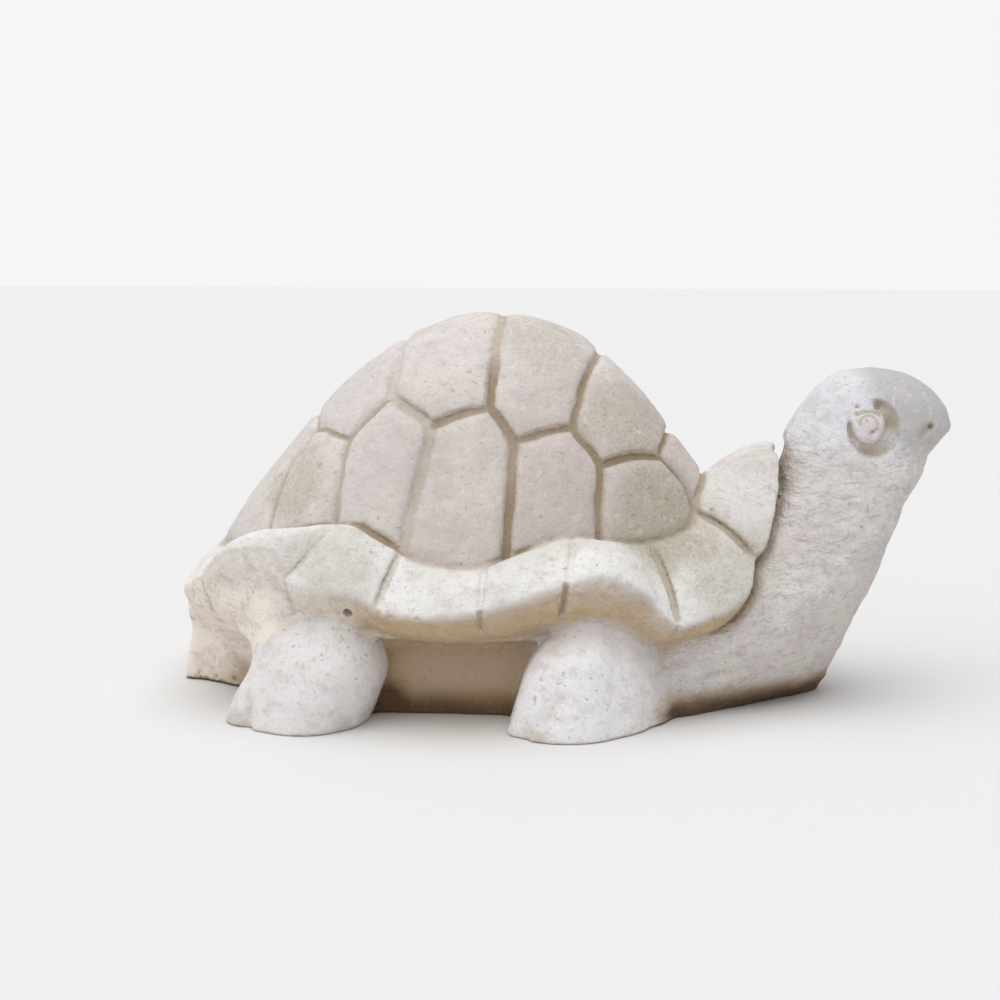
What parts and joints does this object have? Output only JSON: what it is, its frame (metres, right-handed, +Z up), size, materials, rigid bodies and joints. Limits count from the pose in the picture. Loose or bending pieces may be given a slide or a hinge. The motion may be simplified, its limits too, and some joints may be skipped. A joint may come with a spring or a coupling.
{
  "type": "turtle sculpture",
  "caption": "Cast stone turtle with a high domed shell of sunken-seamed plates, a waved rim, stubby legs and a raised beaked head, flat below.",
  "frame": {"origin": "on the surface the turtle stands on, under the middle of its bounding box", "axes": "+X towards the beak, +Y towards its left flank, +Z up"},
  "size_m": [0.24, 0.1388, 0.1176],
  "materials": {
    "cast_stone": "matt, sandy"
  },
  "bodies": {
    "root": {"turtle": "cast_stone"}
  },
  "joints": []
}
